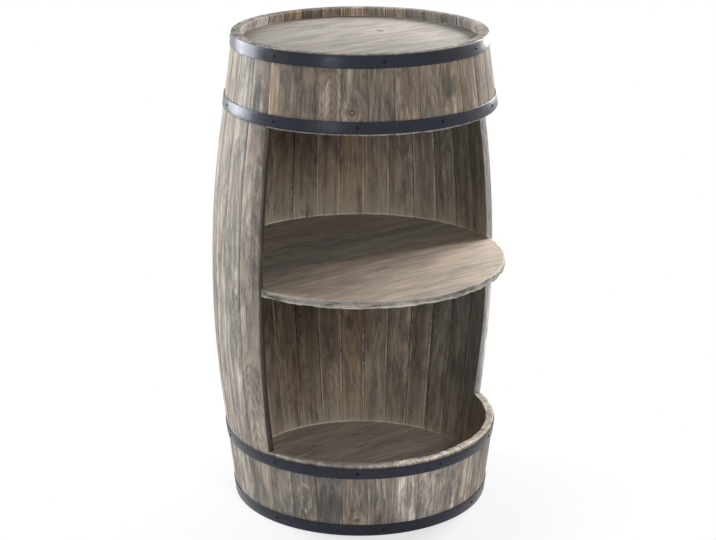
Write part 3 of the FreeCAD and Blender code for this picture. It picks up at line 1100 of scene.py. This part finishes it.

# %% [markdown]
# The table says what each board looks like, as for the staves. The lid's low tone is painted shade:
# the lid is set darker against the light it gets in the open. The shelf's back board is darker and
# greyer than its front one, as painted shade at the back of the shelf.

# %% all boards
board_table = [
    # disc, side, pith, figure, knot, stain, tone
    # painted shade: the lid's tone is set low against the light it gets in the open
    ("lid", -1, (-0.07, -0.70), (-0.12, -0.02, 0.030), nowhere, nowhere, (0.67, 0.02, 0.5)),
    ("lid", 1, (0.06, -0.72), (0.10, -0.05, 0.030), (0.033, 0.065, 0.007), nowhere,
     (0.66, -0.02, 0.5)),
    ("shelf", -1, (-0.05, -0.33), (-0.15, -0.02, 0.035), nowhere, nowhere, (0.97, 0.75, 0.5)),
    # painted shade: the shelf's back board is darker and greyer than the front one
    ("shelf", 1, (0.07, -0.32), (0.06, -0.05, 0.030), nowhere, nowhere, (0.77, 0.05, 0.5)),
    ("floor", -1, (-0.04, -0.45), (-0.06, 0.0, 0.03), nowhere, nowhere, (1.03, 0.08, 0.5)),
    ("floor", 1, (0.09, -0.48), (0.10, 0.02, 0.03), nowhere, (0.120, 0.079, 0.006),
     (1.03, 0.05, 0.5)),
]
for disc, side, pith, figure, knot, stain, tone in board_table:
    if disc == "shelf":
        blank = shelf_blank()
    else:
        blank = head_blank(lid_groove if disc == "lid" else floor_groove)
    dice = random.Random(disc + (" front" if side < 0 else " back"))
    made = board(blank, disc, side, {
        "pith": pith + (dice.uniform(0, 40),), "figure": figure, "knot": knot, "stain": stain,
        "eye": nowhere, "tone": tone, "inner": (1.0, 0.0, 0.0), "plank": (0.0, 0.0, 0.3)})
    print(made.name, "faces", len(made.data.polygons))

# %% [markdown]
# ## Blackened steel
# The hoops are steel strips with a thin blue-black coat, a little cloudy, so that highlights break up
# softly, and with fine rubbed lines along the strip. A coat hides the metal, so the material isn't
# metallic but a dark paint whose gloss is a little blue. The nails are dull.

# %% blackened steel
blue_gloss = (0.80, 0.84, 1.0, 1)


def blackened_steel(name, colour, rubbed, roughness_low, roughness_high, gloss):
    """Satin blue-black steel, a little cloudy and rubbed."""
    material = bpy.data.materials.new(name)
    place = object_place(empty_tree(material))
    clouds = cloud(place, (38, 38, 60), 4, 0.6)
    lines = cloud(place, (30, 30, 1400), 3, 0.6)
    speckle = cloud(place, (900, 900, 900), 2)
    shade = mixed(between(clouds * lines, 0.30, 0.42, 0.0, 0.35), colour, rubbed)
    rough = between(clouds * 0.6 + lines * 0.4, 0.35, 0.65, roughness_low, roughness_high)
    show_surface(shade, rough, speckle * 0.4 + lines * 0.4, 0.18, 0.10 * mm,
                 {"Metallic": 0.0, "Specular IOR Level": gloss, "Specular Tint": blue_gloss})
    return material


hoop_steel = blackened_steel("blackened hoop steel", (0.015, 0.016, 0.024, 1),
                             (0.045, 0.046, 0.060, 1), 0.24, 0.38, 0.34)
nail_steel = blackened_steel("nail steel", (0.012, 0.012, 0.014, 1),
                             (0.040, 0.038, 0.036, 1), 0.50, 0.70, 0.12)
print("steel materials", hoop_steel.name, "and", nail_steel.name)

# %% [markdown]
# ## Hoops: sizes
# Each end of the barrel has a wide hoop at its rim and a narrower one where the opening begins. The nails
# stand at equal angles, and a hoop's lap lies at the back.

# %% hoop sizes
hoop_thickness = 1.5 * mm
hoop_clearance = 0.2 * mm
lap_length = 50 * mm
lap_bridge = 6 * mm
lap_clearance = 0.15 * mm
strip_end_gap = 1 * mm
end_hoop_width = 20 * mm
band_hoop_width = 19 * mm
end_lap = 154.2                 # angle of the middle of the lap
band_lap = 125.0
end_nail_angles = [-25.8 + 50 * k for k in range(-3, 4)]
band_nail_angles = [-109 + 36 * k for k in range(10)]
hoops = {
    # low edge, width, lap and nails
    "hoop_top": (barrel_height - 0.5 * mm - end_hoop_width, end_hoop_width, end_lap,
                 end_nail_angles),
    "hoop_upper": (opening_top + 2.5 * mm, band_hoop_width, band_lap, band_nail_angles),
    "hoop_lower": (lower_band_top - 4.5 * mm - band_hoop_width, band_hoop_width, band_lap,
                   band_nail_angles),
    "hoop_foot": (1 * mm, end_hoop_width, end_lap, end_nail_angles),
}

# %% [markdown]
# ## Hoops: the strips
# A hoop is a strip bent into a cone that fits the staves, its end stepped out and riveted over its start.
# Its section is a small face with rounded corners, spun round the axis, pushed out for the step, and spun
# on for the lap.

# %% hoops
strip_rounding = 0.45 * mm
degrees_per_step = 1.5


def spun(bm, section, sweep):
    """Spins a section round the axis and returns the faces at its new end."""
    steps = max(1, round(abs(sweep) / degrees_per_step))
    made = bmesh.ops.spin(bm, geom=section, cent=(0, 0, 0), axis=(0, 0, 1),
                          angle=math.radians(sweep), steps=steps)
    return only(made["geom_last"], bmesh.types.BMFace)


def make_hoop(name, low, width, lap):
    """One hoop with its lap."""
    high = low + width
    degrees_per_metre = math.degrees(1 / outer_radius((low + high) / 2))
    lap_sweep = lap_length * degrees_per_metre
    bridge_sweep = lap_bridge * degrees_per_metre
    gap_sweep = strip_end_gap * degrees_per_metre
    start = lap - lap_sweep / 2 + gap_sweep
    bm = bmesh.new()
    outside = hoop_clearance + hoop_thickness
    corners = [(low, hoop_clearance), (low, outside), (high, outside), (high, hoop_clearance)]
    bm.faces.new([bm.verts.new(round_point(start, outer_radius(z) + lift, z))
                  for z, lift in corners])
    ease(bm, bm.verts[:], strip_rounding, segments=3, affect="VERTICES")
    once_round = spun(bm, bm.faces[:], 360 - gap_sweep - bridge_sweep)
    step = bmesh.ops.extrude_face_region(bm, geom=once_round)["geom"]
    step_verts = only(step, bmesh.types.BMVert)
    bmesh.ops.rotate(bm, cent=(0, 0, 0), verts=step_verts,
                     matrix=Matrix.Rotation(math.radians(bridge_sweep), 3, "Z"))
    outward = round_point(lap - lap_sweep / 2, hoop_thickness + lap_clearance, 0)
    bmesh.ops.translate(bm, vec=outward, verts=step_verts)
    spun(bm, only(step, bmesh.types.BMFace), lap_sweep)
    clear_inner_walls(bm)
    return finish_piece(bm, "steel_" + name, [hoop_steel], [name])


for name, (low, width, lap, nails) in hoops.items():
    hoop = make_hoop(name, low, width, lap)
    print(hoop.name, "faces", len(hoop.data.polygons))

# %% [markdown]
# ## Nails and rivets
# Nails keep the hoops from slipping, and two rivets close each lap. Only their domed heads are seen. A
# head is made at the origin and moved to its place by a matrix, which is simpler than to model it where
# it stands. A nail that would meet a seam moves into its stave.

# %% placing heads
nail_seam_margin = 4.5 * mm


def off_seam(angle, z):
    """An angle moved just far enough into its stave to miss the seams."""
    stave = math.floor((angle + opening_half_angle) / stave_angle)
    middle = -opening_half_angle + (stave + 0.5) * stave_angle
    reach = stave_angle / 2 - math.degrees(nail_seam_margin / outer_radius(z))
    return middle + max(-reach, min(reach, angle - middle))


def outer_slope(z):
    """Change of the outer radius per metre of height."""
    step = 0.5 * mm
    return (outer_radius(z + step) - outer_radius(z - step)) / (2 * step)


def place_on_staves(angle, z, lift):
    """The matrix that stands a head, made along +Z, on the staves at an angle and a height."""
    lean = Matrix.Rotation(math.radians(90) + math.atan(outer_slope(z)), 4, "X")
    outward = lean.to_3x3() @ Vector((0, 0, 1))
    shift = Matrix.Translation(Vector((0, -outer_radius(z), z)) + outward * lift)
    return Matrix.Rotation(math.radians(angle), 4, "Z") @ shift @ lean


print("the upper end leans in by", round(-math.degrees(math.atan(outer_slope(0.79))), 1), "degrees")

# %% [markdown]
# A nail and a rivet differ only in size: a sphere, flattened and with its lower part pressed flat, on a
# short pin. All nails are one piece and all rivets another, as in the model.

# %% nails and rivets
nail_sizes = (2.6 * mm, 1.2 * mm, 1.0 * mm, 10 * mm)    # head's radius and height, pin's radius, length
rivet_sizes = (3.6 * mm, 1.8 * mm, 2.0 * mm, 3 * mm)
pin_overlap = 0.1 * mm


def domed_pin(bm, sizes, place):
    """A domed head on a short pin, moved to its place by a matrix."""
    head_radius, head_height, pin_radius, pin_length = sizes
    head = bmesh.ops.create_uvsphere(bm, u_segments=20, v_segments=12, radius=head_radius)["verts"]
    bmesh.ops.scale(bm, vec=(1, 1, head_height / head_radius), verts=head)
    for vert in head:
        vert.co.z = max(0.0, vert.co.z)
    pin = bmesh.ops.create_cone(bm, cap_ends=True, segments=12, radius1=pin_radius * 0.4,
                                radius2=pin_radius, depth=pin_length)["verts"]
    bmesh.ops.translate(bm, vec=(0, 0, pin_overlap - pin_length / 2), verts=pin)
    bmesh.ops.transform(bm, matrix=place, verts=head + pin)


nail_bm = bmesh.new()
rivet_bm = bmesh.new()
nail_lift = hoop_clearance + hoop_thickness
lap_lift = nail_lift + lap_clearance + hoop_thickness
for low, width, lap, nails in hoops.values():
    z = low + width / 2
    for angle in nails:
        domed_pin(nail_bm, nail_sizes, place_on_staves(off_seam(angle, z), z, nail_lift))
    rivet_step = math.degrees(lap_length / 2 / outer_radius(z))
    for angle in (lap - rivet_step / 2, lap + rivet_step / 2):
        domed_pin(rivet_bm, rivet_sizes, place_on_staves(angle, z, lap_lift))
for bm, name in ((nail_bm, "nails"), (rivet_bm, "rivets")):
    piece = finish_piece(bm, "steel_" + name, [nail_steel], ["hoop_" + name])
    print(piece.name, "faces", len(piece.data.polygons))

# %% [markdown]
# ## Dowels
# The dowels sit inside the boards' joints, where nobody sees them. Their model is right as it is, so the
# node stays and only gets a beech finish, with the grain along each dowel.

# %% dowels
def beech(name):
    """Plain beech with fine short flecks along Y."""
    material = bpy.data.materials.new(name)
    place = object_place(empty_tree(material))
    flecks = cloud(place, (1400, 90, 1400), 3, 0.6)
    bands = cloud(place, (300, 8, 300), 2)
    colour = mixed(between(bands, 0.35, 0.65), (0.62, 0.44, 0.27, 1), (0.52, 0.34, 0.19, 1))
    colour = mixed(between(flecks, 0.62, 0.72, 0.0, 0.5), colour, (0.30, 0.17, 0.09, 1))
    show_surface(colour, between(flecks, 0.3, 0.7, 0.45, 0.6), flecks, 0.3, 0.1 * mm, {})
    return material


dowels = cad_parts["board_dowels"]
dowels.data.materials.clear()
dowels.data.materials.append(beech("beech"))
print("finish of the dowels:", dowels.data.materials[0].name)

# %% [markdown]
# ## Floor and background
# The barrel stands on a plain pale floor that runs into a white background. The camera and the gloss of
# the pieces see white. Other light meets a matt floor and a dim sky, so that the lamps light the wood.
# Near the barrel the floor shows more of its matt paint, which keeps the soft shadow.

# %% floor
floor_size = 6
floor_white = 0.86
near_glow = 0.66                # how white the floor glows by itself beside the barrel
white = (1, 1, 1, 1)


def seen_directly(tree):
    """1 for what the camera sees, straight or by gloss or through glass, and 0 for other light."""
    path = tree.nodes.new("ShaderNodeLightPath")
    camera, glossy, through = [Value(tree, path.outputs["Is %s Ray" % kind])
                               for kind in ("Camera", "Glossy", "Transmission")]
    return maths("MAXIMUM", camera, maths("MAXIMUM", glossy, through))


floor_bm = bmesh.new()
bmesh.ops.create_grid(floor_bm, x_segments=1, y_segments=1, size=floor_size)
studio_floor = placed("studio_floor", mesh_from(floor_bm, "studio_floor"))

floor_paint = bpy.data.materials.new("studio floor paint")
floor_tree = empty_tree(floor_paint)
matt = add("ShaderNodeBsdfDiffuse", {"Color": (floor_white,) * 3 + (1,)}, tree=floor_tree)
glow = add("ShaderNodeEmission", {"Color": white, "Strength": 1.0}, tree=floor_tree)
away = vectors("LENGTH", object_place(floor_tree), output=1)
glow_share = seen_directly(floor_tree) * between(away, 0.25, 0.50, near_glow, 1.0)
show(add("ShaderNodeMixShader", {0: glow_share, 1: matt, 2: glow}))
studio_floor.data.materials.append(floor_paint)
print("floor", studio_floor.name, "is", 2 * floor_size, "m wide")

# %% [markdown]
# The world behind the floor is white in the same way for the camera and the gloss. For all other light it
# is a dim and slightly blue sky, which keeps the shadows from going black.

# %% background
sky_colour = (0.93, 0.96, 1.04, 1)
sky_strength = 0.18
world = bpy.data.worlds.new("studio")
bpy.context.scene.world = world
world_tree = empty_tree(world)
sky = add("ShaderNodeBackground", {"Color": sky_colour, "Strength": sky_strength}, tree=world_tree)
backdrop = add("ShaderNodeBackground", {"Color": white, "Strength": 1.0}, tree=world_tree)
show(add("ShaderNodeMixShader", {0: seen_directly(world_tree), 1: sky, 2: backdrop}),
     "ShaderNodeOutputWorld")
print("sky strength", sky_strength)

# %% [markdown]
# ## Lamps
# A large soft box at the back left lights the left side like a window. A small one at the right shines
# along the opening over the shelf's front and leaves the back of the shelf in shade. A weak box over the
# back left lights the lid, and a front fill opens the shadows inside. The two cards count only in the
# gloss: they draw the long highlights on the hoops.

# %% lamps
def soft_box(name, angle, distance, z, width, height, power, target_z=0.4, in_gloss=True,
             in_diffuse=True, colour=(1, 1, 1)):
    """An area lamp at an angle round the barrel, aimed at its axis."""
    lamp = bpy.data.lights.new(name, "AREA")
    lamp.shape = "RECTANGLE"
    lamp.size = width
    lamp.size_y = height
    lamp.energy = power
    lamp.color = colour
    holder = placed(name, lamp)
    holder.location = round_point(angle, distance, z)
    aim = Vector((0, 0, target_z)) - holder.location
    holder.rotation_euler = aim.to_track_quat("-Z", "Y").to_euler()
    holder.visible_glossy = in_gloss
    holder.visible_diffuse = in_diffuse
    print(name, "at", angle, "degrees,", power, "watts")


soft_box("left box", -149, 1.5, 0.95, 0.9, 1.3, 39, colour=(0.93, 0.965, 1.0))
soft_box("right box", 91, 0.97, 1.12, 0.42, 0.42, 17, target_z=0.40)
soft_box("right card", 107, 1.3, 1.10, 0.72, 1.06, 18, target_z=1.0, in_diffuse=False)
soft_box("overhead box", -135, 0.85, 1.6, 0.7, 0.7, 3.8, target_z=0.8)
soft_box("front fill", -14, 2.4, 1.45, 0.9, 0.6, 19, in_gloss=False, colour=(0.985, 0.99, 1.0))
soft_box("front card", -60, 2.2, 0.90, 0.30, 0.9, 5, target_z=0.7, in_diffuse=False)

# %% [markdown]
# ## Camera
# The camera stands to the left of the opening's middle and looks a little down. A long lens keeps the
# barrel's lines calm. The lens is shifted a trifle so that the barrel sits in its frame.

# %% camera
picture_width = 716
focal_pixels = 1855
camera_angle = -36.0
camera_distance = 2.9735
camera_height = 1.3717
look_down = 0.3128              # radians
shift_right = -2.0              # pixels
shift_up = -11.93               # pixels
camera_data = bpy.data.cameras.new("camera")
camera_data.sensor_width = 36
camera_data.lens = focal_pixels / picture_width * camera_data.sensor_width
camera_data.shift_x = shift_right / picture_width
camera_data.shift_y = shift_up / picture_width
camera = placed("camera", camera_data)
camera.location = round_point(camera_angle, camera_distance, camera_height)
camera.rotation_euler = (math.radians(90) - look_down, 0, math.radians(camera_angle))
bpy.context.scene.camera = camera
bpy.context.scene.view_settings.view_transform = "Standard"
print("lens", round(camera_data.lens, 1), "mm")
